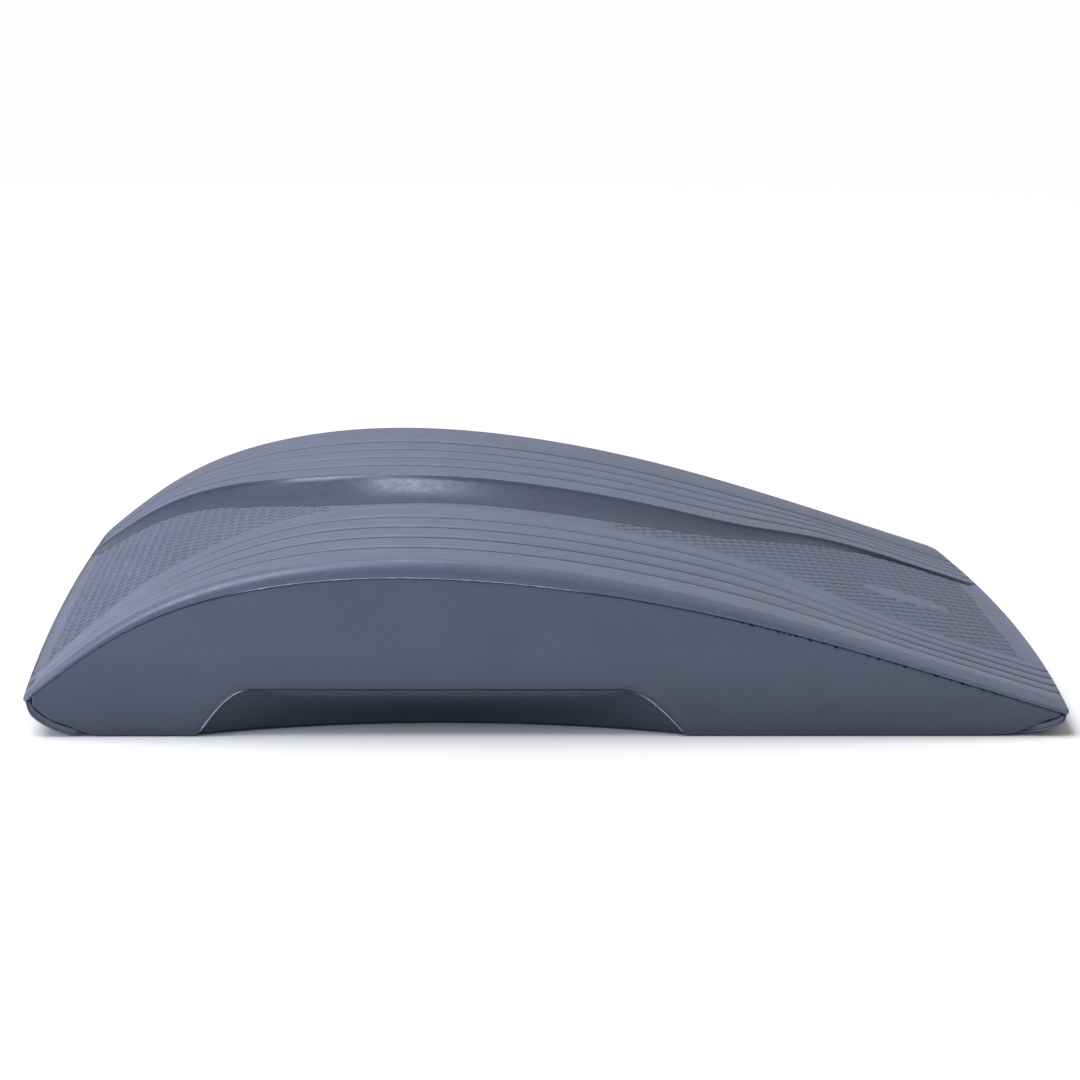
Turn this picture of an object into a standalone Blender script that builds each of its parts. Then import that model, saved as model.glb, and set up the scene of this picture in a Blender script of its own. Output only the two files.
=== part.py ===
"""Moulded foam exercise board: a low wedge with a rounded hump and a channel for the spine.

Metres, +Z up. The origin is on the floor, under the middle of the board's box.
+X runs along the board, from its steep end to its thin end. The board is the same on
both sides of the plane Y = 0, and the front is the side at -Y.

A station is a place along the board, measured at its long sides. The ends bow outward, so
away from the long sides a station lies a little further from the middle than its number.
"""

import math

import bmesh
import bpy
import numpy as np


class SmoothCurve:
    """A natural cubic spline through a few (position, value) points."""

    def __init__(self, *points):
        self.at, self.value = np.array(points).T
        self.span = np.diff(self.at)
        slope = np.diff(self.value) / self.span
        system = np.eye(len(points))
        bend = np.zeros(len(points))
        for i in range(1, len(points) - 1):
            before, after = self.span[i - 1], self.span[i]
            system[i, i - 1:i + 2] = before, 2 * (before + after), after
            bend[i] = 6 * (slope[i] - slope[i - 1])
        self.bend = np.linalg.solve(system, bend)

    def __call__(self, position):
        last = len(self.span) - 1
        i = min(max(int(np.searchsorted(self.at, position)) - 1, 0), last)
        width = self.span[i]
        left = position - self.at[i]
        right = self.at[i + 1] - position
        bent = (self.bend[i] * right**3 + self.bend[i + 1] * left**3) / (6 * width)
        from_left = (self.value[i] / width - self.bend[i] * width / 6) * right
        from_right = (self.value[i + 1] / width - self.bend[i + 1] * width / 6) * left
        return bent + from_left + from_right


# Overall size
HALF_WIDTH = 0.150
CORNER_STATION = 0.188
END_BOW = 0.0066
CORNER_RADIUS = 0.004

# The skins, and the clearance between pieces that touch
SKIN = 0.0025
GAP = 0.0003
CORE_CLEARANCE = 0.0006
CORE_HEADROOM = 0.0016
PANEL_INSET = 0.0040

# Side seam between the top cover and the side panels: height at each station
SEAM_HEIGHT = SmoothCurve(
    (-0.188, 0.0140), (-0.160, 0.0348), (-0.110, 0.0534), (-0.050, 0.0581),
    (0.000, 0.0543), (0.060, 0.0437), (0.120, 0.0277), (0.188, 0.0085),
)

# The rolled edge of the top cover, from the seam up to the grooved bands
ROLL_HEIGHT = SmoothCurve((-0.188, 0.0040), (-0.050, 0.0044), (0.080, 0.0040), (0.188, 0.0038))
ROLL_WIDTH = SmoothCurve((-0.188, 0.0065), (-0.050, 0.0055), (0.080, 0.0076), (0.188, 0.0110))
ROLL_FOOT = 0.0008
END_ROLL = 0.006
EDGE_RISE = 0.0010

# The channel along the middle of the top. It is narrow at the hump and opens at both ends.
CHANNEL_HALF = SmoothCurve(
    (-0.188, 0.118), (-0.140, 0.077), (-0.095, 0.044), (-0.060, 0.0365), (0.045, 0.036),
    (0.085, 0.0437), (0.105, 0.0587), (0.125, 0.0715), (0.150, 0.076), (0.188, 0.073),
)
FLOOR_HALF = SmoothCurve(
    (-0.188, 0.104), (-0.140, 0.066), (-0.110, 0.033), (-0.080, 0.013), (-0.040, 0.013),
    (0.040, 0.015), (0.070, 0.024), (0.090, 0.037), (0.108, 0.053), (0.128, 0.068), (0.188, 0.070),
)
CHANNEL_DEPTH = SmoothCurve(
    (-0.188, 0.0010), (-0.150, 0.0050), (-0.110, 0.0070), (-0.050, 0.0070),
    (0.020, 0.0062), (0.070, 0.0044), (0.120, 0.0020), (0.188, 0.0008),
)
WALL_POWER = 1.6

# The bands beside the channel: where their strips part, from the lip (0) to the ridge (1),
# and how much higher or lower than the middle strips each parting lies
BAND_PARTINGS = (0.0, 0.20, 0.38, 0.56, 0.74, 1.0)
BAND_RISES = (-0.0004, 0.0, 0.0, 0.0, 0.0, 0.0014)

# The base turns up at both ends, each along a quarter of an ellipse
STEEP_TURN = 0.019
STEEP_SEAM = 0.0140
THIN_TURN = 0.031
THIN_SEAM = 0.0085

# The hand scoops under the long sides
SCOOP_STEEP = -0.128
SCOOP_THIN = 0.047
SCOOP_TOP = 0.0172
SCOOP_SHOULDER = 0.021
SCOOP_DEPTH = 0.0165
SCOOP_LIP = 0.005
POCKET_INSET = 0.0042
SCOOP_MIDDLE = (SCOOP_STEEP + SCOOP_THIN) / 2
SCOOP_RADIUS = ((SCOOP_THIN - SCOOP_STEEP)**2 / 4 + SCOOP_DEPTH**2) / (2 * SCOOP_DEPTH)

# How finely the curved pieces are divided
FLOOR_STEPS = 2
WALL_STEPS = 3
ROLL_STEPS = 4
LENGTH_STEPS = 28
TURN_STEPS = 6
BOW_STEPS = 4
CORNER_STEPS = 2
SCOOP_STEPS = 20
SCOOP_ROWS = 4
ARC_STEPS = 160
CORE_STEPS = 24
FINE_STEPS = 24

# How far cutters reach past what they cut
CUTTER_REACH = 0.010


def clear_scene():
    for obj in list(bpy.data.objects):
        bpy.data.objects.remove(obj)


def new_collection(name):
    collection = bpy.data.collections.new(name)
    bpy.context.scene.collection.children.link(collection)
    return collection


def material(name, colour, roughness):
    skin = bpy.data.materials.new(name)
    skin.use_nodes = True
    shader = skin.node_tree.nodes["Principled BSDF"]
    shader.inputs["Base Color"].default_value = (*colour, 1.0)
    shader.inputs["Roughness"].default_value = roughness
    shader.inputs["Metallic"].default_value = 0.0
    return skin


def place_in(obj, collection):
    for old in list(obj.users_collection):
        old.objects.unlink(obj)
    collection.objects.link(obj)


def finish_part(obj, collection, skin):
    obj.data.materials.clear()
    obj.data.materials.append(skin)
    place_in(obj, collection)


def surface(name, columns, rows, place):
    """A sheet of columns by rows points, each put where place(column, row) says."""
    bpy.ops.mesh.primitive_grid_add(x_subdivisions=columns - 1, y_subdivisions=rows - 1)
    sheet = bpy.context.object
    sheet.name = name
    for index, vertex in enumerate(sheet.data.vertices):
        row, column = divmod(index, columns)
        vertex.co = place(column, row)
    sheet.data.shade_smooth()
    return sheet


def thicken(sheet, thickness):
    """Gives an open sheet its thickness, on the side that its faces turn away from."""
    shell = sheet.modifiers.new("thickness", "SOLIDIFY")
    shell.thickness = thickness
    shell.offset = -1.0
    shell.use_even_offset = True


def extend_edge(sheet, rise, wanted):
    """Carries the open edges of a sheet on, straight up or down, where wanted(edge) is true."""
    mesh = bmesh.new()
    mesh.from_mesh(sheet.data)
    edges = [edge for edge in mesh.edges if edge.is_boundary and wanted(edge)]
    extruded = bmesh.ops.extrude_edge_only(mesh, edges=edges)["geom"]
    for element in extruded:
        if isinstance(element, bmesh.types.BMVert):
            element.co.z += rise
    mesh.to_mesh(sheet.data)
    mesh.free()


def sweep_to(sheet, move):
    """Closes an open sheet into a solid, with a far side where move(point) puts it."""
    mesh = bmesh.new()
    mesh.from_mesh(sheet.data)
    extruded = bmesh.ops.extrude_face_region(mesh, geom=mesh.faces[:])["geom"]
    for element in extruded:
        if isinstance(element, bmesh.types.BMVert):
            element.co = move(element.co)
    bmesh.ops.recalc_face_normals(mesh, faces=mesh.faces[:])
    mesh.to_mesh(sheet.data)
    mesh.free()


def mirrored(front, name):
    """The rear twin of a front piece, the other way round about the plane Y = 0."""
    rear = front.copy()
    rear.data = front.data.copy()
    rear.name = name
    mesh = bmesh.new()
    mesh.from_mesh(rear.data)
    for vertex in mesh.verts:
        vertex.co.y = -vertex.co.y
    bmesh.ops.reverse_faces(mesh, faces=mesh.faces[:])
    mesh.to_mesh(rear.data)
    mesh.free()
    bpy.context.scene.collection.objects.link(rear)
    return rear


def cut(obj, cutter):
    slot = obj.modifiers.new("cut by " + cutter.name, "BOOLEAN")
    slot.operation = "DIFFERENCE"
    slot.solver = "EXACT"
    slot.object = cutter


def hide_cutter(cutter, collection):
    cutter.hide_render = True
    cutter.display_type = "WIRE"
    place_in(cutter, collection)


def bowed(station, y):
    """X of a station at a distance y from the middle plane."""
    bow = END_BOW * (1 - (y / HALF_WIDTH) ** 2)
    return station * (CORNER_STATION + bow) / CORNER_STATION


def quarter_round(fraction):
    """Rises from 0 to 1 along a quarter of a circle, upright at first and level at last."""
    return math.sqrt(max(0.0, 1 - (1 - min(fraction, 1.0)) ** 2))


def stations():
    """Where the top cover's cross sections are, closer together on the rolled ends."""
    inner = CORNER_STATION - END_ROLL
    turns = [math.pi / 2 * i / ROLL_STEPS for i in range(1, ROLL_STEPS + 1)]
    end = [inner + END_ROLL * math.sin(turn) for turn in turns]
    middle = [inner * (2 * i / LENGTH_STEPS - 1) for i in range(LENGTH_STEPS + 1)]
    return [-x for x in reversed(end)] + middle + end


def half_section(station):
    """(y, rise over the middle strips) across half the top, from the middle to the ridge."""
    floor, lip = FLOOR_HALF(station), CHANNEL_HALF(station)
    ridge = HALF_WIDTH - ROLL_WIDTH(station)
    depth = CHANNEL_DEPTH(station)
    lip_rise = BAND_RISES[0]
    points = [(floor * i / FLOOR_STEPS, lip_rise - depth) for i in range(FLOOR_STEPS + 1)]
    for i in range(1, WALL_STEPS + 1):
        up = i / WALL_STEPS
        points.append((floor + (lip - floor) * up, lip_rise - depth * (1 - up**WALL_POWER)))
    for parting, rise in zip(BAND_PARTINGS[1:], BAND_RISES[1:]):
        points.append((lip + (ridge - lip) * parting, rise))
    return points


def section(station):
    """(y, lift) across the whole top, edge to edge. The lift is the height over the seam."""
    end_roll = quarter_round((CORNER_STATION - abs(station)) / END_ROLL)
    bulk = ROLL_HEIGHT(station) - ROLL_FOOT
    half = [(y, ROLL_FOOT + (bulk + rise) * end_roll) for y, rise in half_section(station)]
    ridge, ridge_lift = half[-1]
    for i in range(1, ROLL_STEPS + 1):
        angle = math.pi / 2 * i / ROLL_STEPS
        y = ridge + (HALF_WIDTH - ridge) * math.sin(angle)
        half.append((y, ROLL_FOOT + (ridge_lift - ROLL_FOOT) * math.cos(angle)))
    left = [(-y, lift) for y, lift in reversed(half)]
    return left + half[1:]


def rounded_corner(station, y):
    """Moves a point of the square plan inward where the plan's corner is rounded."""
    along = abs(station) - (CORNER_STATION - CORNER_RADIUS)
    across = abs(y) - (HALF_WIDTH - CORNER_RADIUS)
    if along <= 0 or across <= 0:
        return station, y
    shrink = max(along, across) / math.hypot(along, across)
    station = math.copysign(CORNER_STATION - CORNER_RADIUS + along * shrink, station)
    y = math.copysign(HALF_WIDTH - CORNER_RADIUS + across * shrink, y)
    return station, y


def make_top_cover(collection):
    """The skin over the top. An upright foot all round its edge stands on the seams."""
    places = stations()
    sections = [section(place) for place in places]

    def place(column, row):
        y, lift = sections[row][column]
        station, y = rounded_corner(places[row], y)
        return bowed(station, y), y, SEAM_HEIGHT(places[row]) + lift

    cover = surface("top_cover", len(sections[0]), len(places), place)
    cover.data.flip_normals()
    extend_edge(cover, -ROLL_FOOT, lambda edge: True)
    thicken(cover, SKIN)
    finish_part(cover, collection, material("top skin", (0.19, 0.21, 0.28), 0.5))


def turned_up_end(turn, height, inset, steps):
    """(distance in from the end, height) along the base's turned-up end, top first."""
    height -= EDGE_RISE
    points = []
    for i in range(steps + 1):
        angle = math.pi / 2 * i / steps
        outward, down = math.cos(angle), math.sin(angle)
        normal = math.hypot(outward / turn, down / height)
        in_by = turn * (1 - outward) + inset * outward / turn / normal
        up_by = height * (1 - down) + inset * down / height / normal
        points.append((in_by, up_by))
    return points


def base_profile(inset=0.0, steps=TURN_STEPS):
    """(station, height) along the base from its steep end to its thin end."""
    steep = turned_up_end(STEEP_TURN, STEEP_SEAM - GAP, inset, steps)
    thin = turned_up_end(THIN_TURN, THIN_SEAM - GAP, inset, steps)
    left = [(-CORNER_STATION + in_by, up_by) for in_by, up_by in steep]
    right = [(CORNER_STATION - in_by, up_by) for in_by, up_by in reversed(thin)]
    return left + right


def scoop_profile():
    """(x, height) of the edge of the scoop's mouth, from its steep-end foot to its other foot."""
    points = []
    for i in range(SCOOP_STEPS + 1):
        x = SCOOP_STEEP + (SCOOP_THIN - SCOOP_STEEP) * i / SCOOP_STEPS
        points.append((x, scoop_height(x)))
    return points


def scoop_height(x):
    """Height of the scoop's mouth: level along the middle, curving down to both feet."""
    from_foot = min(x - SCOOP_STEEP, SCOOP_THIN - x)
    fraction = max(0.0, from_foot) / SCOOP_SHOULDER
    return SCOOP_TOP * math.sin(math.pi / 2 * min(fraction, 1.0))


def scoop_reach(x):
    """How far the scoop goes in at floor level: an arc, deepest halfway along."""
    half = (SCOOP_THIN - SCOOP_STEEP) / 2
    offset = min(abs(x - SCOOP_MIDDLE), half)
    return math.sqrt(SCOOP_RADIUS**2 - offset**2) - (SCOOP_RADIUS - SCOOP_DEPTH)


def make_base_cover(collection, cutters):
    """The skin underneath. Its long edges are cut back where the panels and scoops stand."""
    profile = base_profile()
    corner = [HALF_WIDTH - CORNER_RADIUS * i / CORNER_STEPS for i in range(CORNER_STEPS + 1)]
    inner = [corner[-1] * i / BOW_STEPS for i in range(BOW_STEPS - 1, 0, -1)]
    half = corner + inner
    across = [-y for y in half] + [0.0] + half[::-1]

    def place(column, row):
        station, height = profile[column]
        in_by = math.copysign(CORNER_STATION - abs(station), station)
        end, y = rounded_corner(math.copysign(CORNER_STATION, station), across[row])
        return bowed(end, y) - in_by, y, height

    cover = surface("base_cover", len(profile), len(across), place)
    cover.data.flip_normals()
    top = min(STEEP_SEAM, THIN_SEAM) - GAP - 2 * EDGE_RISE
    ends = CORNER_STATION - CORNER_RADIUS

    def along_end(edge):
        return all(abs(v.co.x) > ends and v.co.z > top for v in edge.verts)

    extend_edge(cover, EDGE_RISE, along_end)
    thicken(cover, SKIN)
    for cutter in cutters:
        cut(cover, cutter)
    finish_part(cover, collection, material("base skin", (0.08, 0.09, 0.12), 0.6))


def panel_outline():
    """The outline of a side panel: seam along the top, base profile at both ends."""
    inner = base_profile(PANEL_INSET)
    steep, thin = inner[:TURN_STEPS + 1], inner[TURN_STEPS + 1:]
    first, last = steep[0][0], thin[-1][0]
    foot = PANEL_INSET
    tip_gap = 4 * GAP
    top = [(x, SEAM_HEIGHT(x) - GAP) for x in stations() if first < x < last]
    top = [(first, SEAM_HEIGHT(first) - tip_gap)] + top + [(last, SEAM_HEIGHT(last) - tip_gap)]
    floor_thin = thin[0][0] - foot
    floor_steep = steep[-1][0] + foot
    thin_side = thin[-2::-1] + [(floor_thin, foot), (floor_thin, 0.0)]
    steep_side = [(floor_steep, 0.0), (floor_steep, foot)] + steep[:0:-1]
    return top + thin_side + scoop_profile()[::-1] + steep_side


def make_side_panel(name, side, collection, skin):
    """A flat upright sheet, flush with the outside of the board."""
    outline = panel_outline()
    curve = bpy.data.curves.new(name, "CURVE")
    curve.dimensions = "2D"
    curve.fill_mode = "BOTH"
    curve.extrude = SKIN / 2
    spline = curve.splines.new("POLY")
    spline.points.add(len(outline) - 1)
    for point, (x, height) in zip(spline.points, outline):
        point.co = (x, height, 0.0, 1.0)
    spline.use_cyclic_u = True
    curve.materials.append(skin)
    panel = bpy.data.objects.new(name, curve)
    panel.location.y = side * (HALF_WIDTH - SKIN / 2)
    panel.rotation_euler.x = math.pi / 2
    collection.objects.link(panel)


def scoop_surface(name, inset, margin):
    """The front scoop's sloping face, as an open sheet that reaches margin past the mouth."""
    start, end = SCOOP_STEEP - margin, SCOOP_THIN + margin
    low = SKIN + GAP

    def place(column, row):
        x = start + (end - start) * column / SCOOP_STEPS
        rim = scoop_height(x) + SCOOP_LIP
        high = scoop_height(x) + margin
        height = low + (high - low) * row / (SCOOP_ROWS - 1)
        inward = scoop_reach(x) * (rim - height) / (rim - low)
        return x, -HALF_WIDTH + SKIN + GAP + inward + inset, height

    return surface(name, SCOOP_STEPS + 1, SCOOP_ROWS, place)


def make_grip_liners(collection, skin):
    """The moulded scoops behind the openings in the panels, standing on the base's edge."""
    front = scoop_surface("grip_liner_front", 0.0, SCOOP_LIP)
    thicken(front, SKIN)
    finish_part(front, collection, skin)
    rear = mirrored(front, "grip_liner_rear")
    place_in(rear, collection)


def scoop_pocket_cutters(collection):
    """The room that the scoops and their liners take out of the foam."""
    cutter = scoop_surface("scoop_pocket_front", POCKET_INSET, SCOOP_LIP + SKIN)
    low = SKIN + 2 * GAP
    extend_edge(cutter, -2 * SKIN, lambda edge: all(v.co.z < low for v in edge.verts))
    front_plane = -HALF_WIDTH - CUTTER_REACH
    sweep_to(cutter, lambda point: (point.x, front_plane, point.z))
    rear = mirrored(cutter, "scoop_pocket_rear")
    hide_cutter(cutter, collection)
    hide_cutter(rear, collection)
    return [cutter, rear]


def base_scoop_cutters(collection):
    """Discs that cut the scoops' arcs out of the base's long edges."""
    cutters = []
    for side, word in ((-1, "front"), (1, "rear")):
        bpy.ops.mesh.primitive_cylinder_add(
            vertices=ARC_STEPS, radius=SCOOP_RADIUS, depth=2 * CUTTER_REACH)
        disc = bpy.context.object
        disc.name = "scoop_arc_" + word
        centre = HALF_WIDTH - SKIN - GAP - SCOOP_DEPTH + SCOOP_RADIUS
        disc.location = (SCOOP_MIDDLE, side * centre, 0.0)
        hide_cutter(disc, collection)
        cutters.append(disc)
    return cutters


def panel_foot_cutters(collection):
    """Boxes that clear the base's long edges for the feet of the side panels."""
    inner = base_profile(SKIN + GAP)
    low, high = inner[TURN_STEPS][0] + SKIN, inner[TURN_STEPS + 1][0] - SKIN
    cutters = []
    for side, word in ((-1, "front"), (1, "rear")):
        bpy.ops.mesh.primitive_cube_add(size=1.0)
        box = bpy.context.object
        box.name = "panel_foot_" + word
        box.dimensions = (high - low, CUTTER_REACH, CUTTER_REACH)
        middle = HALF_WIDTH - SKIN - GAP + CUTTER_REACH / 2
        box.location = ((high + low) / 2, side * middle, 0.0)
        hide_cutter(box, collection)
        cutters.append(box)
    return cutters


def lower_limit(station, inset):
    """Height of the base's inner face, moved in by inset, at a station."""
    inner = base_profile(inset, steps=FINE_STEPS)
    return float(np.interp(station, [x for x, _ in inner], [z for _, z in inner]))


def upper_limit(station, y, inset):
    """Height of the top cover's inner face, moved in by inset."""
    step = SKIN
    slope = (SEAM_HEIGHT(station + step) - SEAM_HEIGHT(station - step)) / (2 * step)
    across, lifts = zip(*section(station))
    lift = float(np.interp(y, across, lifts))
    return SEAM_HEIGHT(station) + lift - inset * math.hypot(1, slope)


def make_foam_core(collection, cutters):
    """The foam that fills the skins. Its edges are bevelled under the cover's rolled edge."""
    inset = SKIN + CORE_CLEARANCE
    end = CORNER_STATION - END_ROLL - SKIN
    edge = HALF_WIDTH - inset
    rolled = ROLL_STEPS + 1

    def across(station):
        """Y of each column of the core: the cover's own, but one at each side for its roll."""
        columns = [y for y, _ in section(station)]
        return [-edge] + columns[rolled:-rolled] + [edge]

    def place(column, row):
        station = end * (2 * row / CORE_STEPS - 1)
        y = across(station)[column]
        if abs(y) == edge:
            return bowed(station, y), y, SEAM_HEIGHT(station) - inset
        return bowed(station, y), y, upper_limit(station, y, SKIN + CORE_HEADROOM)

    core = surface("foam_core", len(across(0.0)), CORE_STEPS + 1, place)

    def down(point):
        bow = bowed(1.0, point.y)
        return point.x, point.y, lower_limit(point.x / bow, inset)

    sweep_to(core, down)
    for cutter in cutters:
        cut(core, cutter)
    finish_part(core, collection, material("foam", (0.45, 0.45, 0.46), 0.9))


def main():
    clear_scene()
    board = new_collection("exercise_board")
    cutters = new_collection("cutters")
    panel_skin = material("panel skin", (0.08, 0.09, 0.13), 0.6)
    liner_skin = material("liner skin", (0.03, 0.035, 0.05), 0.6)

    make_top_cover(board)
    make_side_panel("side_panel_front", -1, board, panel_skin)
    make_side_panel("side_panel_rear", 1, board, panel_skin)
    make_grip_liners(board, liner_skin)
    make_base_cover(board, base_scoop_cutters(cutters) + panel_foot_cutters(cutters))
    make_foam_core(board, scoop_pocket_cutters(cutters))


main()
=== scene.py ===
"""The looks of the moulded foam exercise board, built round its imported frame.

Metres, +Z up, in the frame's own place: +X runs along the board from its steep end to its
thin end, the front is the side at -Y, and the board lies on the floor at Z = 0. A station is
a place along the board, measured at its corners, because the ends bow outward.
"""

import math

import bpy
import numpy as np
from mathutils import Matrix, Vector


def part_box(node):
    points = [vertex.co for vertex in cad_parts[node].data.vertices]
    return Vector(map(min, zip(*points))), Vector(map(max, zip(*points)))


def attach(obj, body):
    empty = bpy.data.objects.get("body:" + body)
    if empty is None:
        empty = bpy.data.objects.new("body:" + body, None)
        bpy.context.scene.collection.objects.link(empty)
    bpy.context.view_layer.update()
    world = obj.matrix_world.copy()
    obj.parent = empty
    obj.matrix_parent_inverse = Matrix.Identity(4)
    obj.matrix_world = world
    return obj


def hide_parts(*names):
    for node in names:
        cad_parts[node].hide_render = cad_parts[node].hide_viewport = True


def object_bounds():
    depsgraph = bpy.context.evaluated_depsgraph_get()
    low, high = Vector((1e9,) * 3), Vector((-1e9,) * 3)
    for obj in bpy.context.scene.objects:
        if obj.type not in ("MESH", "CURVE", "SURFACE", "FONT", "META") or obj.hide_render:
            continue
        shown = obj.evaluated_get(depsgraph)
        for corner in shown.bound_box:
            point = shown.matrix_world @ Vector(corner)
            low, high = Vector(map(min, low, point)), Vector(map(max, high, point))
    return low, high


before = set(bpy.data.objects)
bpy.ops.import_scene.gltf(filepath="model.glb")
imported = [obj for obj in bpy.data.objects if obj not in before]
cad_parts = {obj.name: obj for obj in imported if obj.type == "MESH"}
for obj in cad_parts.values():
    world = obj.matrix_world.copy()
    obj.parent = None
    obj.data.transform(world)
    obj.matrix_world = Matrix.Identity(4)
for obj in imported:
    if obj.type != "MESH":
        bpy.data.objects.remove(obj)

cad_low, cad_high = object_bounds()
MM = 0.001


class SmoothCurve:
    """A natural cubic spline through a few (position, value) points, read for whole arrays."""

    def __init__(self, *points):
        self.at, self.value = np.array(points).T
        self.span = np.diff(self.at)
        slope = np.diff(self.value) / self.span
        system = np.eye(len(points))
        bend = np.zeros(len(points))
        for i in range(1, len(points) - 1):
            before, after = self.span[i - 1], self.span[i]
            system[i, i - 1:i + 2] = before, 2 * (before + after), after
            bend[i] = 6 * (slope[i] - slope[i - 1])
        self.bend = np.linalg.solve(system, bend)

    def __call__(self, position):
        position = np.asarray(position, float)
        i = np.clip(np.searchsorted(self.at, position) - 1, 0, len(self.span) - 1)
        width = self.span[i]
        left = position - self.at[i]
        right = self.at[i + 1] - position
        bent = (self.bend[i] * right**3 + self.bend[i + 1] * left**3) / (6 * width)
        from_left = (self.value[i] / width - self.bend[i] * width / 6) * right
        from_right = (self.value[i + 1] / width - self.bend[i + 1] * width / 6) * left
        return bent + from_left + from_right


# The board's size, from the frame, how far its ends bow out, and how far in from the frame's
# box its corners are
HALF_WIDTH = cad_high[1]
STEEP_BOW, THIN_BOW = 3.2 * MM, 7.0 * MM
STEEP_SETBACK, THIN_SETBACK = 4.2 * MM, 9.0 * MM
STEEP_CORNER, THIN_CORNER = cad_low[0] + STEEP_SETBACK, cad_high[0] - THIN_SETBACK
CORNER_RADIUS = 4 * MM
SKIN = 2.5 * MM

# The side seam and the rolled edge of the top skin
SEAM_HEIGHT = SmoothCurve(
    (-0.190, 0.0128), (-0.160, 0.0348), (-0.110, 0.0534), (-0.050, 0.0581),
    (0.000, 0.0543), (0.060, 0.0437), (0.120, 0.0277), (0.186, 0.0076),
)
ROLL_HEIGHT = SmoothCurve((-0.190, 0.0006), (-0.050, 0.0042), (0.080, 0.0021), (0.186, 0.0001))
ROLL_WIDTH = SmoothCurve((-0.190, 0.0065), (-0.050, 0.0055), (0.080, 0.0076), (0.186, 0.0140))
ROLL_FOOT = 0.8 * MM
END_ROLL = 6 * MM

# The channel along the top: half widths of its mouth and floor, and its depth
CHANNEL_HALF = SmoothCurve(
    (-0.190, 0.120), (-0.140, 0.077), (-0.095, 0.044), (-0.060, 0.0365), (0.045, 0.036),
    (0.085, 0.0437), (0.105, 0.0587), (0.125, 0.0715), (0.150, 0.076), (0.186, 0.073),
)
FLOOR_HALF = SmoothCurve(
    (-0.190, 0.106), (-0.140, 0.066), (-0.110, 0.033), (-0.080, 0.013), (-0.040, 0.013),
    (0.040, 0.015), (0.070, 0.024), (0.090, 0.037), (0.108, 0.053), (0.128, 0.0685), (0.186, 0.071),
)
CHANNEL_DEPTH = SmoothCurve(
    (-0.190, 0.0010), (-0.150, 0.0050), (-0.110, 0.0070), (-0.050, 0.0070),
    (0.020, 0.0062), (0.070, 0.0044), (0.120, 0.0020), (0.186, 0.0006),
)
WALL_POWER = 1.6

# The bands beside the channel: where their strips part, from the lip (0) to the ridge (1),
# how much higher or lower than the middle strips each parting lies, and its groove's depth
BAND_PARTINGS = (0.0, 0.20, 0.38, 0.56, 0.74, 1.0)
BAND_RISES = (-0.45 * MM, 0.0, 0.0, 0.0, 0.0, 1.6 * MM)

# The turned-up ends of the base, and the hand scoops
STEEP_TURN, STEEP_SEAM, STEEP_ROUNDNESS = 20 * MM, 12.6 * MM, 1.6
THIN_TURN, THIN_SEAM, THIN_ROUNDNESS = 31 * MM, 7.6 * MM, 2.0
SCOOP_STEEP, SCOOP_THIN = -129 * MM, 47 * MM
SCOOP_TOP = 17.2 * MM
STEEP_SHOULDER, THIN_SHOULDER = 19 * MM, 24 * MM
SCOOP_DEPTH = 16.5 * MM
SCOOP_MIDDLE = (SCOOP_STEEP + SCOOP_THIN) / 2
SCOOP_RADIUS = ((SCOOP_THIN - SCOOP_STEEP)**2 / 4 + SCOOP_DEPTH**2) / (2 * SCOOP_DEPTH)

# The side skins: the slit above them and its row of pits, their rounded edges, the seam line
# near their foot, and how much they wave
SLIT_WIDTH, PIT_WIDTH = 0.12 * MM, 0.55 * MM
PITS_FROM, PITS_TO = 45 * MM, 168 * MM
SIDE_EDGE_RADIUS = 0.9 * MM
SIDE_LINE_HEIGHT, SIDE_LINE_DEPTH = 1.5 * MM, 0.3 * MM
SIDE_WAVE = 0.12 * MM

# The scoops' rounded lip, and the flash lines
SCOOP_LIP = 2.2 * MM
SCOOP_LIP_FADE = 22 * MM
SEAM_FLASH_FROM, SEAM_FLASH_TO = -118 * MM, 12 * MM
SCOOP_FLASH_LENGTH = 19 * MM

# The moulded relief of the top
GROOVE_HALF = 1.5 * MM
GROOVE_DEPTHS = (0.0, 1.8 * MM, 1.7 * MM, 1.4 * MM, 1.1 * MM, 0.0)
STRIP_CROWN = 0.25 * MM
LIP_BEAD = 0.5 * MM
LIP_BEAD_WIDTH = 0.9 * MM
CREASE_DEPTH = 0.4 * MM
CREASE_WIDTH = 0.5 * MM
KNURL_ALONG = 8.2 * MM
KNURL_ACROSS = 7.2 * MM
KNURL_HEIGHT = 0.8 * MM
KNURL_VALLEY = 0.22
KNURL_MARGIN = 1.5 * MM
KNURL_EDGE = 0.8 * MM
KNURL_FADE = 12 * MM
KNURL_STEEP_TIP = -80 * MM
KNURL_THIN_TIP = 24 * MM
PAD_CENTRE = (148 * MM, -10 * MM)
PAD_HALF = (17 * MM, 10 * MM)
PAD_RISE = 0.3 * MM

# The parts of the top that have a finish of their own, among them the grooves, coloured near black as
# painted shade, and how many columns wide a groove is
KNURLED, PLAIN, WALL, BAND, SHADED_GROOVE, ROLLED = range(6)
SHADED_GROOVE_COLUMNS = 3

# The heights between which a side skin's colour is darkened towards the floor, a painted shade
PAINTED_SHADE_FROM, PAINTED_SHADE_TO = 0 * MM, 30 * MM

# How finely the top is divided
LENGTH_STEPS = 370
END_STEPS = 8
FLOOR_STEPS = 82
WALL_STEPS = 12
ROLL_STEPS = 8


def smoothstep(value):
    """0 below 0, 1 above 1, and a smooth S between."""
    t = np.clip(value, 0.0, 1.0)
    return t * t * (3 - 2 * t)


def quarter_round(fraction):
    """Rises from 0 to 1 along a quarter of a circle, upright at first and level at last."""
    return np.sqrt(np.clip(1 - (1 - np.clip(fraction, 0, 1))**2, 0, 1))


def from_end(station):
    """How far a station lies in from the nearer end."""
    return np.minimum(station - STEEP_CORNER, THIN_CORNER - station)


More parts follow.
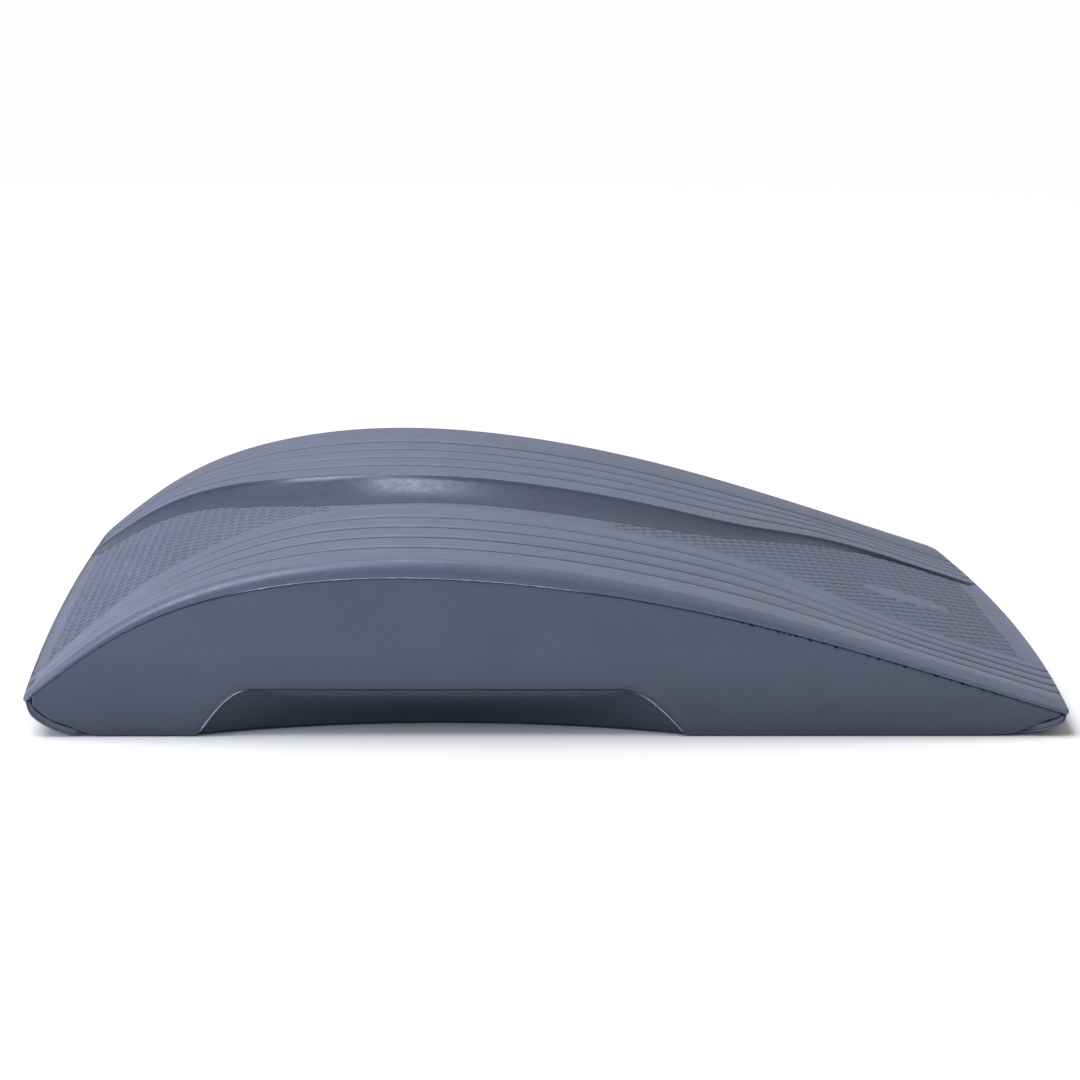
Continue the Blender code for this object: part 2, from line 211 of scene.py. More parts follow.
def bowed(station, y):
    """X of a station at a distance y from the middle plane."""
    bow_share = np.where(station < 0, -STEEP_BOW / STEEP_CORNER, THIN_BOW / THIN_CORNER)
    return station * (1 + bow_share * (1 - (y / HALF_WIDTH)**2))


def rounded_corner(station, y):
    """Moves points of the square plan inward where the plan's corners are rounded."""
    along = CORNER_RADIUS - from_end(station)
    across = abs(y) - (HALF_WIDTH - CORNER_RADIUS)
    in_corner = (along > 0) & (across > 0)
    far = np.hypot(along, across)
    shrink = np.where(in_corner, np.maximum(along, across) / np.where(far > 0, far, 1), 1)
    new_station = station - np.sign(station) * along * (1 - shrink)
    new_y = np.copysign(HALF_WIDTH - CORNER_RADIUS + across * shrink, y)
    return np.where(in_corner, new_station, station), np.where(in_corner, new_y, y)


def wander(position, reach, seed):
    """A smooth irregular wave between about -1 and 1, that changes over about reach."""
    turns = 2 * math.pi * position / reach
    slow = np.sin(turns * 0.37 + seed)
    middling = np.sin(turns + 2.1 * seed)
    quick = np.sin(turns * 1.73 + 3.7 * seed)
    return (slow + middling + quick) / 2.4


# Meshes


def surface_normals(points):
    """The unit normals of a grid of points."""
    along = np.gradient(points, axis=0)
    across = np.gradient(points, axis=1)
    normal = np.cross(along, across)
    return normal / np.maximum(np.linalg.norm(normal, axis=2, keepdims=True), 1e-12)


def grid_quads(rows, columns, first=0):
    """The faces between neighbouring points of a grid."""
    index = first + np.arange(rows * columns).reshape(rows, columns)
    corners = index[:-1, :-1], index[1:, :-1], index[1:, 1:], index[:-1, 1:]
    return np.stack(corners, axis=-1).reshape(-1, 4)


def border(rows, columns, first=0):
    """Round the edge of a grid: (point index, how far round from 0 to 4, a unit for each side)."""
    index = first + np.arange(rows * columns).reshape(rows, columns)
    sides = (index[:-1, 0], index[-1, :-1], index[:0:-1, -1], index[0, :0:-1])
    found = []
    for number, side in enumerate(sides):
        found += [(int(point), number + i / len(side)) for i, point in enumerate(side)]
    return found


def joining_faces(outer, inner):
    """Triangles between the borders of two grids, whatever their numbers of points."""
    outer = outer + [(outer[0][0], 4.0)]
    inner = inner + [(inner[0][0], 4.0)]
    i = j = 0
    faces = []
    while i < len(outer) - 1 or j < len(inner) - 1:
        next_outer = outer[i + 1][1] if i < len(outer) - 1 else math.inf
        next_inner = inner[j + 1][1] if j < len(inner) - 1 else math.inf
        if next_outer <= next_inner:
            faces.append((outer[i + 1][0], outer[i][0], inner[j][0]))
            i += 1
        else:
            faces.append((inner[j][0], inner[j + 1][0], outer[i][0]))
            j += 1
    return faces


def closed_shell(name, outer, inner, materials, zones=None):
    """A solid between an outer and an inner grid of points.

    zones gives the material number of each face of the outer grid; the rest takes the first.
    """
    rows, columns = outer.shape[:2]
    inner_rows, inner_columns = inner.shape[:2]
    count = rows * columns
    points = np.concatenate([outer.reshape(-1, 3), inner.reshape(-1, 3)])
    faces = grid_quads(rows, columns).tolist()
    faces += grid_quads(inner_rows, inner_columns, count)[:, ::-1].tolist()
    faces += joining_faces(border(rows, columns), border(inner_rows, inner_columns, count))
    mesh = bpy.data.meshes.new(name)
    mesh.from_pydata(points.tolist(), [], faces)
    for skin in materials:
        mesh.materials.append(skin)
    numbers = np.zeros(len(faces), np.int32)
    if zones is not None:
        numbers[:zones.size] = zones.reshape(-1)
    mesh.polygons.foreach_set("material_index", numbers)
    mesh.shade_smooth()
    mesh.update()
    piece = bpy.data.objects.new(name, mesh)
    bpy.context.scene.collection.objects.link(piece)
    return piece


def declare(piece, slot, *nodes, fill=None):
    """Hangs a piece under the frame's root and hides the frame's parts that it replaces."""
    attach(piece, "root")
    if nodes:
        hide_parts(*nodes)


# The top skin


def top_stations():
    """Cross sections along the top, closer together on the rolled ends."""
    steep, thin = STEEP_CORNER + END_ROLL, THIN_CORNER - END_ROLL
    turn = np.linspace(0, math.pi / 2, END_STEPS + 1)[1:]
    out_by = END_ROLL * np.sin(turn)
    between = np.linspace(steep, thin, LENGTH_STEPS + 1)
    return np.concatenate([steep - out_by[::-1], between, thin + out_by])


def groove(distance, depth):
    """A sharp V with rounded shoulders."""
    return -depth * np.clip(1 - distance / GROOVE_HALF, 0, 1)**1.3


def floor_columns(station):
    """The channel's floor, from the middle out: (y, rise, relief, zones) for its columns."""
    floor = FLOOR_HALF(station)
    to_edge = np.array([1.6, 1.0, 0.6, 0.3, 0.0]) * MM
    plain = (floor - 2.2 * MM) * np.linspace(0, 1, FLOOR_STEPS - len(to_edge))
    y = np.hstack([plain, floor - to_edge])
    rise = (BAND_RISES[0] - CHANNEL_DEPTH(station)) * np.ones_like(y)
    relief = -CREASE_DEPTH * np.exp(-((floor - y) / CREASE_WIDTH)**2)
    return y, rise, relief, [PLAIN] * y.shape[1]


def wall_columns(station):
    """The channel's curved wall, up to its beaded lip."""
    floor, lip = FLOOR_HALF(station), CHANNEL_HALF(station)
    step = np.linspace(0, 1, WALL_STEPS + 1)[1:]
    up = 1 - (1 - step)**1.5
    y = floor + (lip - floor) * up
    rise = BAND_RISES[0] - CHANNEL_DEPTH(station) * (1 - up**WALL_POWER)
    crease = -CREASE_DEPTH * np.exp(-((y - floor) / CREASE_WIDTH)**2)
    bead = LIP_BEAD * np.exp(-((lip - y) / LIP_BEAD_WIDTH)**2)
    return y, rise, crease + bead, [WALL] * y.shape[1]


def strip_columns(station, number):
    """One strip of the grooved band, from the groove on its inner side to the next groove."""
    lip = CHANNEL_HALF(station)
    band = HALF_WIDTH - ROLL_WIDTH(station) - lip
    start, stop = BAND_PARTINGS[number:number + 2]
    low, high = BAND_RISES[number:number + 2]
    width = band * (stop - start)
    near = np.array([0.35, 0.7, 1.1, 1.5]) * MM
    fractions = np.array([0.32, 0.44, 0.56, 0.68])
    along = np.hstack([np.broadcast_to(near, (len(station), len(near))), width * fractions,
                       width - near[::-1], width])
    y = lip + band * start + along
    rise = low + (high - low) * along / width
    crown = STRIP_CROWN * np.sin(math.pi * along / width)
    inner_groove = groove(along, GROOVE_DEPTHS[number])
    outer_groove = groove(width - along, GROOVE_DEPTHS[number + 1])
    relief = crown + inner_groove + outer_groove
    if number == 0:
        relief += LIP_BEAD * np.exp(-(along / LIP_BEAD_WIDTH)**2)
    zones = np.full(y.shape[1], BAND)
    # the columns beside a deep groove take the near-black groove colour, a painted shade
    if GROOVE_DEPTHS[number]:
        zones[:SHADED_GROOVE_COLUMNS] = SHADED_GROOVE
    if GROOVE_DEPTHS[number + 1]:
        zones[-SHADED_GROOVE_COLUMNS:] = SHADED_GROOVE
    return y, rise, relief, zones


def knurl(x, y, floor):
    """(relief, how fully it is there) of the studs on the channel's floor, and of the pad."""
    valleys = 0
    for slant in (x / KNURL_ALONG + y / KNURL_ACROSS, x / KNURL_ALONG - y / KNURL_ACROSS):
        valleys = np.maximum(valleys, 1 - abs(slant - np.round(slant)) / KNURL_VALLEY)
    inside = smoothstep((floor - abs(y) - KNURL_EDGE) / KNURL_MARGIN)
    end = smoothstep((from_end(x) - KNURL_MARGIN) / (2 * MM))
    thin_patch = smoothstep((x - KNURL_THIN_TIP) / KNURL_FADE)
    steep_patch = smoothstep((KNURL_STEEP_TIP - x) / KNURL_FADE)
    tips = thin_patch + steep_patch
    oval = np.hypot((x - PAD_CENTRE[0]) / PAD_HALF[0], (y - PAD_CENTRE[1]) / PAD_HALF[1])
    clear = smoothstep((oval - 1.0) / 0.12)
    presence = inside * end * tips * clear
    pad = PAD_RISE * (1 - smoothstep((oval - 0.8) / 0.2))
    return pad - KNURL_HEIGHT * np.clip(valleys, 0, 1) * presence, presence


def mirrored_half(half, sign):
    """A half section's columns, middle to edge, carried on to the other side of the middle."""
    return np.hstack([sign * half[:, :0:-1], half])


def make_top_skin(materials):
    places = top_stations()
    station = places[:, None]
    parts = [floor_columns(station), wall_columns(station)]
    parts += [strip_columns(station, number) for number in range(len(BAND_PARTINGS) - 1)]
    half_y = np.hstack([part[0] for part in parts])
    half_rise = np.hstack([part[1] for part in parts])
    half_relief = np.hstack([part[2] for part in parts])
    half_zone = np.concatenate([part[3] for part in parts])

    angle = np.linspace(0, math.pi / 2, ROLL_STEPS + 1)[1:]
    ridge = HALF_WIDTH - ROLL_WIDTH(station)
    roll_y = ridge + (HALF_WIDTH - ridge) * np.sin(angle)
    half_y = np.hstack([half_y, roll_y, np.full((len(places), 1), HALF_WIDTH)])
    half_rise = np.hstack([half_rise, np.full((len(places), ROLL_STEPS + 1), BAND_RISES[-1])])
    half_relief = np.hstack([half_relief, np.zeros((len(places), ROLL_STEPS + 1))])
    half_zone = np.concatenate([half_zone, [ROLLED] * (ROLL_STEPS + 1)])
    level = np.ones(half_y.shape[1])
    level[-ROLL_STEPS - 1:-1] = np.cos(angle)
    level[-1] = 0.0
    foot = np.full(half_y.shape[1], ROLL_FOOT)
    foot[-1] = 0.0

    y = mirrored_half(half_y, -1)
    rise = mirrored_half(half_rise, 1)
    relief = mirrored_half(half_relief, 1)
    level = mirrored_half(level[None, :], 1)
    foot = mirrored_half(foot[None, :], 1)

    end_roll = quarter_round(from_end(station) / END_ROLL)
    lift = foot + (ROLL_HEIGHT(station) - ROLL_FOOT + rise) * end_roll * level
    station_here, y = rounded_corner(np.broadcast_to(station, y.shape), y)
    height = SEAM_HEIGHT(station) + lift
    smooth = np.stack([bowed(station_here, y), y, height], axis=2)
    studs, presence = knurl(smooth[..., 0], y, FLOOR_HALF(station))
    detail = relief * np.sqrt(end_roll) + studs
    normal = surface_normals(smooth)
    outer = smooth + normal * detail[..., None]

    seam_ends = [SEAM_HEIGHT(places[end]) * np.array([0, 0, 1]) for end in (0, -1)]
    outer_foot = [smooth[end] * (1, 1, 0) + seam for end, seam in zip((0, -1), seam_ends)]
    outer = np.concatenate([outer_foot[0][None], outer, outer_foot[1][None]])

    slope = np.gradient(SEAM_HEIGHT(places), places)[:, None]
    drop = SKIN * np.hypot(1, slope) * end_roll * level
    drawn_in = (1 - SKIN / cad_high[0], 1 - SKIN / HALF_WIDTH, 1)
    nowhere = np.zeros_like(drop)
    inner_skin = smooth * drawn_in - np.stack([nowhere, nowhere, drop], axis=2)
    inner_foot = [foot_row * drawn_in for foot_row in outer_foot]
    inner_skin = np.concatenate([inner_foot[0][None], inner_skin, inner_foot[1][None]])
    rows = np.r_[0, 1:len(inner_skin) - 1:4, len(inner_skin) - 1]
    columns = np.r_[0:inner_skin.shape[1] - 1:5, inner_skin.shape[1] - 1]
    inner = inner_skin[np.ix_(rows, columns)]

    # a face takes the zone of its column that lies further out
    zone = mirrored_half(half_zone[None, :], 1)[0]
    half = len(half_zone) - 1
    face_zone = np.concatenate([zone[:half], zone[half + 1:]])
    zones = np.tile(face_zone, (len(outer) - 1, 1))
    studded = np.pad(presence, ((1, 1), (0, 0)))[:-1, :-1] > 0.5
    zones[studded & (zones == PLAIN)] = KNURLED
    piece = closed_shell("top_skin", outer, inner, materials, zones)
    declare(piece, "top_skin", "top_cover", fill=1.0)


# The base's end profiles and the scoops' outlines


def turned_up_end(turn, height, roundness, inset, steps):
    """(distance in from the end, height) along the base's turned-up end, top first.

    A roundness of 2 is a quarter of an ellipse, and a smaller one is nearer to a bevel.
    """
    angle = np.linspace(0, math.pi / 2, steps + 1)
    outward, down = np.cos(angle)**(2 / roundness), np.sin(angle)**(2 / roundness)
    facing_out, facing_down = outward**(roundness - 1) / turn, down**(roundness - 1) / height
    facing = np.hypot(facing_out, facing_down)
    in_by = turn * (1 - outward) + inset * facing_out / facing
    up_by = height * (1 - down) + inset * facing_down / facing
    return in_by, up_by


def base_profile(inset, steps=24, middle=60):
    """(x, height) along the base from its steep end to its thin end."""
    steep_in, steep_up = turned_up_end(STEEP_TURN, STEEP_SEAM, STEEP_ROUNDNESS, inset, steps)
    thin_in, thin_up = turned_up_end(THIN_TURN, THIN_SEAM, THIN_ROUNDNESS, inset, steps)
    left = STEEP_CORNER + steep_in
    right = (THIN_CORNER - thin_in)[::-1]
    flat = np.linspace(left[-1], right[0], middle + 1)[1:-1]
    x = np.concatenate([left, flat, right])
    height = np.concatenate([steep_up, np.full(len(flat), inset), thin_up[::-1]])
    return x, height


def scoop_height(x):
    """Height of the scoop's mouth: level along the middle, curving down to both feet."""
    along = np.minimum((x - SCOOP_STEEP) / STEEP_SHOULDER, (SCOOP_THIN - x) / THIN_SHOULDER)
    return SCOOP_TOP * np.sin(math.pi / 2 * np.clip(along, 0, 1))


def scoop_reach(x):
    """How far the scoop goes in at floor level: an arc, deepest halfway along."""
    offset = np.minimum(abs(x - SCOOP_MIDDLE), (SCOOP_THIN - SCOOP_STEEP) / 2)
    return np.sqrt(SCOOP_RADIUS**2 - offset**2) - (SCOOP_RADIUS - SCOOP_DEPTH)


# The side skins


def seam_gap(x):
    """Width of the slit between a side skin and the top: tight, but for a row of small pits."""
    pits = smoothstep((wander(x, 4.2 * MM, 1.7) + 0.8 * wander(x, 1.9 * MM, 4.1) - 0.45) / 0.3)
    torn = smoothstep((x - PITS_FROM) / (20 * MM)) * smoothstep((PITS_TO - x) / (8 * MM))
    return SLIT_WIDTH + PIT_WIDTH * pits * torn


def turned_up(x):
    """1 where the base's turned-up ends show beyond the side skins, and 0 along the middle."""
    steep = 1 - smoothstep((x - STEEP_CORNER - 15 * MM) / (12 * MM))
    thin = 1 - smoothstep((THIN_CORNER - 9 * MM - x) / (14 * MM))
    return np.maximum(steep, thin)


def side_outline(x):
    """(lowest, highest) height of a side skin at x."""
    under = np.interp(x, *base_profile(0.0)) + 0.2 * MM
    over = np.interp(x, *base_profile(SKIN)) + 0.35 * MM + 0.3 * MM * wander(x, 11 * MM, 0.4)
    foot = under + (over - under) * turned_up(x)
    low = np.where((x > SCOOP_STEEP) & (x < SCOOP_THIN), scoop_height(x), foot)
    return low, SEAM_HEIGHT(x) - seam_gap(x)


def make_side_skin(name, side, node, skin):
    """An upright sheet with rounded edges, a faint seam line near its foot and a soft waviness."""
    tip_in = SKIN + SIDE_EDGE_RADIUS
    first, last = STEEP_CORNER + tip_in, THIN_CORNER - tip_in
    x = np.linspace(first, last, 520)
    low, high = side_outline(x)
    low = np.minimum(low, high - 0.3 * MM)
    radius = SIDE_EDGE_RADIUS
    turn = np.linspace(0, math.pi / 2, 6)
    edge = radius * (1 - np.cos(turn))
    foot_line = SIDE_LINE_HEIGHT
    near_foot = np.array([foot_line - 0.35 * MM, foot_line, foot_line + 0.35 * MM, 2.6 * MM])
    from_low = np.concatenate([edge, near_foot])
    middle = np.linspace(0, 1, 16)[1:-1]
    share = np.minimum(1.0, (high - low) / (8 * MM))[:, None]
    bottom = low[:, None] + from_low * share
    top = high[:, None] - edge[::-1] * share
    between = bottom[:, -1:] + (top[:, :1] - bottom[:, -1:]) * middle
    z = np.hstack([bottom, between, top])
    depth_in = np.minimum(z - low[:, None], high[:, None] - z)
    to_flat = radius - np.clip(depth_in, 0, radius)
    rounding = radius - np.sqrt(np.clip(radius**2 - to_flat**2, 0, None))
    line = SIDE_LINE_DEPTH * np.exp(-((z - low[:, None] - foot_line) / (0.3 * MM))**2)
    line *= (turned_up(x) < 0.1)[:, None]
    waves = SIDE_WAVE * (wander(x, 60 * MM, 0.9)[:, None] + wander(z, 25 * MM, 2.2))
    inward = rounding + line + 0.15 * MM + waves * smoothstep(depth_in / (4 * MM))
    across_x = np.broadcast_to(x[:, None], z.shape)
    outer = np.stack([across_x, side * (HALF_WIDTH - inward), z], axis=2)
    inner = np.stack([across_x, np.full_like(z, side * (HALF_WIDTH - SKIN)), z], axis=2)[::2, ::3]
    if side > 0:
        outer, inner = outer[:, ::-1], inner[:, ::-1]
    piece = closed_shell(name, outer, inner, [skin])
    declare(piece, "panel_skin", node, fill=1.0)


# The grip scoops


def make_grip_scoop(name, side, node, skin):
    """The moulded hollow behind a side skin's mouth: a rounded lip, then a face that undercuts."""
    x = np.linspace(SCOOP_STEEP + 0.6 * MM, SCOOP_THIN - 0.6 * MM, 260)
    mouth = np.maximum(scoop_height(x) - 0.12 * MM, 0.7 * MM)
    steep_fade = smoothstep((x - SCOOP_STEEP - 18 * MM) / SCOOP_LIP_FADE)
    thin_fade = smoothstep((SCOOP_THIN - 14 * MM - x) / SCOOP_LIP_FADE)
    lip = SCOOP_LIP * steep_fade * thin_fade
    lip = np.minimum(lip + 0.3 * MM, mouth * 0.4)
    low = 0.4 * MM
    reach = scoop_reach(x)
    lip_steps = np.linspace(0, 1, 7)
    z_lip = mouth[:, None] - lip[:, None] * lip_steps
    in_lip = 0.5 * MM + 0.9 * MM * (1 - np.cos(lip_steps * math.pi / 2))
    fall = np.linspace(0, 1, 16)[1:]
    z_face = z_lip[:, -1:] + (low - z_lip[:, -1:]) * fall
    in_face = 1.4 * MM + (reach[:, None] + 0.6 * MM) * np.sin(fall * math.pi / 2)**0.9
    z = np.hstack([z_lip, z_face])
    inward = np.hstack([np.broadcast_to(in_lip, z_lip.shape), in_face])
    across_x = np.broadcast_to(x[:, None], z.shape)
    outer = np.stack([across_x, side * (HALF_WIDTH - inward), z], axis=2)
    inner = np.stack([across_x, side * (HALF_WIDTH - inward - SKIN), z + 0.4 * MM], axis=2)[::2, ::2]
    if side < 0:
        outer, inner = outer[:, ::-1], inner[:, ::-1]
    piece = closed_shell(name, outer, inner, [skin])
    declare(piece, "liner_skin", node, fill=1.0)


# The base skin


def base_edge(x):
    """How far out the base reaches at x: to the side skins, and to the scoops' arcs."""
    behind = HALF_WIDTH - SKIN - 0.3 * MM
    beyond = HALF_WIDTH - 0.1 * MM
    in_scoop = (x > SCOOP_STEEP) & (x < SCOOP_THIN)
    reach = np.where(in_scoop, scoop_reach(x), 0.0)
    return behind + (beyond - behind) * turned_up(x) - reach


def make_base_skin(skin):
    """The skin underneath, turned up at both ends, with rounded long edges."""
    radius = 0.8 * MM
    turn = np.linspace(0, math.pi / 2, 5)
    edge_in = radius * (1 - np.sin(turn))
    edge_up = radius * np.cos(turn)
    middle = np.linspace(1, 0, 22)[1:]
    x = base_profile(0.0, middle=240)[0]
    reach = base_edge(x)

    def place(out_by, inset):
        """One line of points along the base, out_by from the middle plane."""
        line_x, line_height = base_profile(inset, middle=240)
        line_x, line_y = rounded_corner(line_x, out_by)
        return np.stack([bowed(line_x, line_y), line_y, line_height], axis=1)

    lines = [place(reach - in_by, up_by) for in_by, up_by in zip(edge_in, edge_up)]
    lines += [place((reach - radius) * share, 0.0) for share in middle]
    half = np.stack(lines, axis=1)
    other = half[:, :-1][:, ::-1] * (1, -1, 1)
    outer = np.concatenate([half, other], axis=1)
    inner_lines = [place(reach * share, SKIN) for share in (1.0, 0.6, 0.3, 0.0)]
    inner_half = np.stack(inner_lines, axis=1)
    inner_other = inner_half[:, :-1][:, ::-1] * (1, -1, 1)
    inner = np.concatenate([inner_half, inner_other], axis=1)[::2]
    piece = closed_shell("base_skin", outer, inner, [skin])
    declare(piece, "base_skin", "base_cover", fill=1.0)


# The foam inside


def make_foam(skin):
    """The foam that fills the skins, hollowed along its lower edges for the scoops."""
    low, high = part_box("foam_core")
    x = np.linspace(low.x + 1.5 * MM, high.x - 1.5 * MM, 130)
    station = x[:, None]
    share = np.linspace(-1, 1, 61)
    y_top = high.y * 0.998 * share
    floor, lip = FLOOR_HALF(station), CHANNEL_HALF(station)
    up = np.clip((abs(y_top) - floor) / (lip - floor), 0, 1)
    rise = BAND_RISES[0] - CHANNEL_DEPTH(station) * (1 - up**WALL_POWER)
    slope = np.gradient(SEAM_HEIGHT(x), x)[:, None]
    edge = smoothstep((high.y - abs(y_top)) / (8 * MM))
    end = smoothstep((high.x - abs(station)) / (8 * MM))
    drop = (SKIN + 1.8 * MM) * np.hypot(1, slope)
    top_height = SEAM_HEIGHT(station) + (ROLL_HEIGHT(station) + rise) * end * edge - drop
    base_x, base_height = base_profile(SKIN + 0.8 * MM)
    under = np.interp(x, base_x, base_height)[:, None]
    pocket = np.where((x > SCOOP_STEEP) & (x < SCOOP_THIN), scoop_reach(x) + 4 * MM, 1.0 * MM)
    y_under = (high.y - pocket)[:, None] * share
    top = np.stack(np.broadcast_arrays(station, y_top, top_height), axis=2)
    bottom = np.stack(np.broadcast_arrays(station, y_under, under), axis=2)
    piece = closed_shell("foam_filling", top, bottom, [skin])
    declare(piece, "foam", "foam_core", fill=1.0)


# Flash lines: thin slivers of skin that the mould leaves at its joints


def make_flash(name, points, radius, skin, slot):
    """A thin, uneven bead along a line of points."""
    sides = 6
    ring = np.linspace(0, 2 * math.pi, sides, endpoint=False)
    along = np.gradient(points, axis=0)
    along /= np.linalg.norm(along, axis=1, keepdims=True)
    outward = np.cross(along, (0, 1, 0))
    outward /= np.linalg.norm(outward, axis=1, keepdims=True)
    across = np.cross(outward, along)
    spokes = outward[:, None] * np.cos(ring)[None, :, None] + across[:, None] * np.sin(ring)[None, :, None]
    tube = points[:, None] + spokes * radius[:, None, None]
    count = len(points)
    faces = []
    for i in range(count - 1):
        for j in range(sides):
            after = (j + 1) % sides
            faces.append((i * sides + j, (i + 1) * sides + j, (i + 1) * sides + after, i * sides + after))
    faces.append(tuple(range(sides)))
    faces.append(tuple((count - 1) * sides + j for j in reversed(range(sides))))
    mesh = bpy.data.meshes.new(name)
    mesh.from_pydata(tube.reshape(-1, 3).tolist(), [], faces)
    mesh.materials.append(skin)
    mesh.shade_smooth()
    piece = bpy.data.objects.new(name, mesh)
    bpy.context.scene.collection.objects.link(piece)
    declare(piece, slot)


def make_flashes(skin):
    for side, word in ((-1, "front"), (1, "rear")):
        x = np.linspace(SEAM_FLASH_FROM, SEAM_FLASH_TO, 240)
        ends = smoothstep((x - x[0]) / (10 * MM)) * smoothstep((x[-1] - x) / (10 * MM))
        radius = (0.13 + 0.12 * np.clip(wander(x, 9 * MM, 2.6), 0, 1)) * MM * ends + 0.03 * MM
        y = np.full_like(x, side * (HALF_WIDTH - 0.05 * MM))
        line = np.stack([x, y, SEAM_HEIGHT(x) - 0.05 * MM], axis=1)
        make_flash("seam_flash_" + word, line, radius, skin, "panel_skin")
        for foot, inward, end in ((SCOOP_STEEP, 1, "steep"), (SCOOP_THIN, -1, "thin")):
            x = foot + inward * np.linspace(0.9 * MM, SCOOP_FLASH_LENGTH, 60)
            ends = smoothstep(abs(x - x[0]) / (2 * MM)) * smoothstep(abs(x - x[-1]) / (5 * MM))
            radius = (0.22 + 0.06 * wander(x, 4 * MM, 5.2)) * MM * ends + 0.03 * MM
            y = np.full_like(x, side * (HALF_WIDTH - 0.25 * MM))
            line = np.stack([x, y, scoop_height(x) - 0.1 * MM], axis=1)
            make_flash("scoop_flash_" + end + "_" + word, line, radius, skin, "panel_skin")


# Materials


def foam_skin(name, colour, roughness, mottle=0.10, grain=0.12, streaks=0.0,
              painted_foot_shade=1.0, valleys=1.0):
    """Moulded foam skin: mottled colour, a fine grain, and streaks along the board if wanted.

    Its foot shade factor darkens its colour towards the floor, and its valleys factor darkens the lines
    between the studs: both are painted shade.
    """
    skin = bpy.data.materials.new(name)
    skin.use_nodes = True
    nodes, links = skin.node_tree.nodes, skin.node_tree.links
    shader = nodes["Principled BSDF"]
    place = nodes.new("ShaderNodeTexCoord")

    def noise(scale, detail, stretch=(1, 1, 1)):
        mapping = nodes.new("ShaderNodeMapping")
        mapping.inputs["Scale"].default_value = stretch
        links.new(place.outputs["Object"], mapping.inputs["Vector"])
        texture = nodes.new("ShaderNodeTexNoise")
        texture.inputs["Scale"].default_value = scale
        texture.inputs["Detail"].default_value = detail
        links.new(mapping.outputs["Vector"], texture.inputs["Vector"])
        return texture.outputs["Fac"]

    def ramp(value, start, stop, low, high):
        reach = nodes.new("ShaderNodeMapRange")
        reach.inputs["From Min"].default_value = start
        reach.inputs["From Max"].default_value = stop
        reach.inputs["To Min"].default_value = low
        reach.inputs["To Max"].default_value = high
        links.new(value, reach.inputs["Value"])
        return reach.outputs["Result"]

    def spread(value, low, high):
        return ramp(value, 0.3, 0.7, low, high)

    def math_node(operation, *values):
        node = nodes.new("ShaderNodeMath")
        node.operation = operation
        for socket, value in zip(node.inputs, values):
            if isinstance(value, bpy.types.NodeSocket):
                links.new(value, socket)
            else:
                socket.default_value = value
        return node.outputs[0]

    def scaled(colour_socket, factor):
        node = nodes.new("ShaderNodeVectorMath")
        node.operation = "SCALE"
        links.new(colour_socket, node.inputs[0])
        links.new(factor, node.inputs["Scale"])
        return node.outputs["Vector"]

    def mixed(factor, dark, light):
        mix = nodes.new("ShaderNodeMix")
        mix.data_type = "RGBA"
        mix.inputs["A"].default_value = (*dark, 1)
        mix.inputs["B"].default_value = (*light, 1)
        links.new(factor, mix.inputs["Factor"])
        return mix.outputs["Result"]

    def bump(height, strength, depth, below=None):
        node = nodes.new("ShaderNodeBump")
        node.inputs["Strength"].default_value = strength
        node.inputs["Distance"].default_value = depth
        links.new(height, node.inputs["Height"])
        if below is not None:
            links.new(below, node.inputs["Normal"])
        return node.outputs["Normal"]

    patches = math_node("MULTIPLY", math_node("ADD", noise(45, 4), noise(700, 2)), 0.5)
    dark = [c * (1 - mottle) for c in colour]
    light = [c * (1 + mottle) for c in colour]
    tone = mixed(spread(patches, 0, 1), dark, light)
    if painted_foot_shade < 1 or valleys < 1:
        axes = nodes.new("ShaderNodeSeparateXYZ")
        links.new(place.outputs["Object"], axes.inputs["Vector"])
    # painted shade: the colour darkens towards the floor
    if painted_foot_shade < 1:
        tone = scaled(tone, ramp(axes.outputs["Z"], PAINTED_SHADE_FROM, PAINTED_SHADE_TO, painted_foot_shade, 1.0))
    # painted shade: the colour darkens along the lines between the studs
    if valleys < 1:
        along = math_node("DIVIDE", axes.outputs["X"], KNURL_ALONG)
        across = math_node("DIVIDE", axes.outputs["Y"], KNURL_ACROSS)
        slants = [math_node(operation, along, across) for operation in ("ADD", "SUBTRACT")]
        near = math_node("MINIMUM", *[math_node("PINGPONG", slant, 0.5) for slant in slants])
        tone = scaled(tone, ramp(near, KNURL_VALLEY * 0.2, KNURL_VALLEY * 0.9, valleys, 1.0))
    links.new(tone, shader.inputs["Base Color"])
    links.new(spread(noise(260, 3), roughness - 0.06, roughness + 0.06), shader.inputs["Roughness"])

    normal = bump(noise(2400, 2), grain, 0.12 * MM)
    if streaks:
        normal = bump(noise(1500, 3, (0.03, 1, 1)), streaks, 0.15 * MM, normal)
    normal = bump(noise(90, 2), 0.25, 0.35 * MM, normal)
    links.new(normal, shader.inputs["Normal"])
    shader.inputs["Specular IOR Level"].default_value = 0.45
    return skin


def open_foam(name, colour):
    """Closed-cell foam, for the filling: small cells all over."""
    skin = foam_skin(name, colour, 0.9, mottle=0.06, grain=0.5)
    nodes, links = skin.node_tree.nodes, skin.node_tree.links
    place = nodes.new("ShaderNodeTexCoord")
    cells = nodes.new("ShaderNodeTexVoronoi")
    cells.inputs["Scale"].default_value = 900
    links.new(place.outputs["Object"], cells.inputs["Vector"])
    bump = nodes.new("ShaderNodeBump")
    bump.inputs["Strength"].default_value = 0.6
    bump.inputs["Distance"].default_value = 0.3 * MM
    links.new(cells.outputs["Distance"], bump.inputs["Height"])
    links.new(bump.outputs["Normal"], nodes["Principled BSDF"].inputs["Normal"])
    return skin


# The stage

CAMERA_PLACE = (-0.0518, -1.222, 0.287)
CAMERA_TURN, CAMERA_DOWN, CAMERA_ROLL = -2.411, 11.335, 0.589
LENS = 102.92


